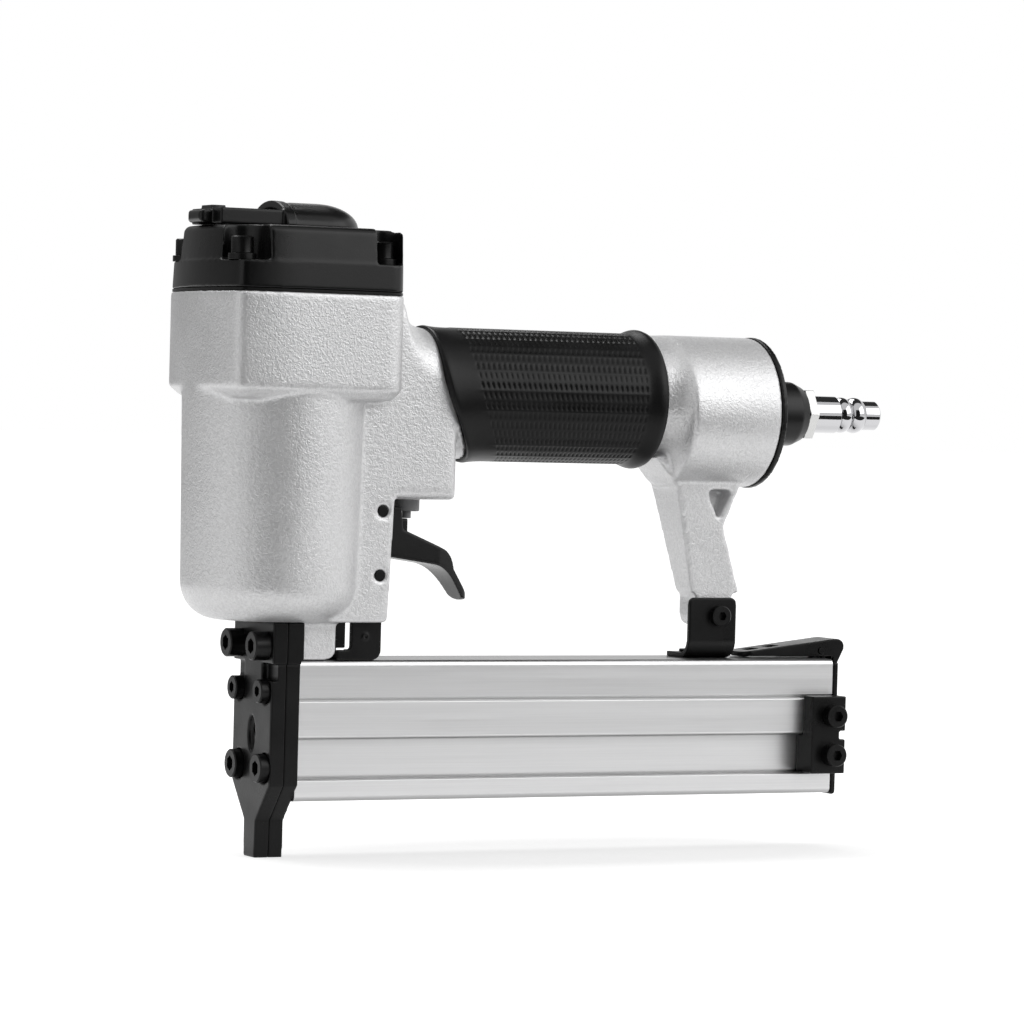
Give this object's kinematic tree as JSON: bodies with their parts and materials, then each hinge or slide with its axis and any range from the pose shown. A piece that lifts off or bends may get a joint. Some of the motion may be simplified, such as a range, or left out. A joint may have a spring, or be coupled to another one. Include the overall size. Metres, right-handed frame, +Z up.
{
  "type": "pneumatic nailer",
  "caption": "Hand-held air nailer with cast body, rubber grip, straight brad magazine, trigger, swivel exhaust deflector and hose plug.",
  "frame": {"origin": "middle of the nose tip, on the driver's line", "axes": "+X back along the handle to the air inlet, +Z up along the driver, -Y the side seen in the picture"},
  "size_m": [0.234, 0.057, 0.1936],
  "materials": {
    "cast_silver": "satin",
    "plastic_black": "satin",
    "plastic_grey": "satin",
    "rubber_black": "matte",
    "steel_black": "satin",
    "steel_bright": "satin",
    "aluminium_satin": "satin",
    "chrome_plug": "polished"
  },
  "bodies": {
    "body": {"body_casting": "cast_silver", "head_gasket": "rubber_black", "cylinder_cap": "plastic_black", "cap_screws": "steel_black", "cap_washers": "steel_black", "deflector_screw": "steel_black", "cylinder_sleeve": "aluminium_satin", "sleeve_seal": "rubber_black", "bumper": "rubber_black", "head_valve_spring": "steel_bright", "trigger_valve_housing": "plastic_grey", "trigger_valve_seals": "rubber_black", "trigger_valve_spring": "steel_bright", "trigger_pin": "steel_black", "bracket_pin": "steel_black", "grip_sleeve": "rubber_black", "end_cap": "plastic_black", "end_cap_seal": "rubber_black", "air_plug": "chrome_plug", "front_plate": "steel_black", "driver_guide": "steel_black", "nose_screws": "steel_black", "guide_screws": "steel_black", "tip_screws": "steel_black", "magazine_body": "aluminium_satin", "front_bracket": "steel_black", "rear_bracket": "steel_black", "bracket_rivets": "steel_black", "rear_bracket_screw": "steel_black", "side_block": "steel_black", "side_block_screws": "steel_black"},
    "deflector": {"exhaust_deflector": "plastic_black"},
    "piston": {"piston": "aluminium_satin", "piston_ring": "rubber_black", "driver_blade": "steel_bright"},
    "head_valve": {"head_valve": "plastic_grey", "head_valve_seal": "rubber_black"},
    "trigger": {"trigger": "steel_black"},
    "valve_stem": {"trigger_valve_stem": "steel_bright"},
    "rail": {"nail_rail": "aluminium_satin", "rail_end_plate": "steel_black", "latch_pin": "steel_black", "latch_spring": "steel_bright"},
    "latch": {"latch_lever": "steel_black"},
    "pusher": {"pusher": "steel_black", "pusher_spring": "steel_bright"}
  },
  "joints": [
    {"name": "deflector_turn", "type": "hinge", "parent": "body", "child": "deflector", "pos_m": [0, 0, 0.1856], "axis": [0, 0, 1], "continuous": true},
    {"name": "piston_stroke", "type": "slide", "parent": "body", "child": "piston", "axis": [0, 0, -1], "range_m": [0, 0.0597]},
    {"name": "head_valve_lift", "type": "slide", "parent": "body", "child": "head_valve", "axis": [0, 0, 1], "range_m": [0, 0.003], "stiffness_N_per_m": 1500, "springref_m": -0.002, "deforming": ["head_valve_spring"]},
    {"name": "trigger_pull", "type": "hinge", "parent": "body", "child": "trigger", "pos_m": [0.0285, 0, 0.103], "axis": [0, -1, 0], "range_deg": [0, 7], "stiffness_Nm_per_rad": 0.4, "springref_deg": -11.46},
    {"name": "valve_stem_lift", "type": "slide", "parent": "body", "child": "valve_stem", "axis": [0, 0, 1], "range_m": [0, 0.0019], "deforming": ["trigger_valve_spring"]},
    {"name": "rail_slide", "type": "slide", "parent": "body", "child": "rail", "axis": [1, 0, 0], "range_m": [0, 0.115]},
    {"name": "latch_lift", "type": "hinge", "parent": "rail", "child": "latch", "pos_m": [0.1861, 0, 0.061], "axis": [0, 1, 0], "range_deg": [0, 10], "stiffness_Nm_per_rad": 0.1, "springref_deg": -11.46},
    {"name": "pusher_slide", "type": "slide", "parent": "rail", "child": "pusher", "axis": [1, 0, 0], "range_m": [0, 0.11], "stiffness_N_per_m": 20, "springref_m": -0.2}
  ],
  "couplings": [
    {"joint": "trigger_pull", "follows": "valve_stem_lift", "rad_per_m": 64.3}
  ]
}
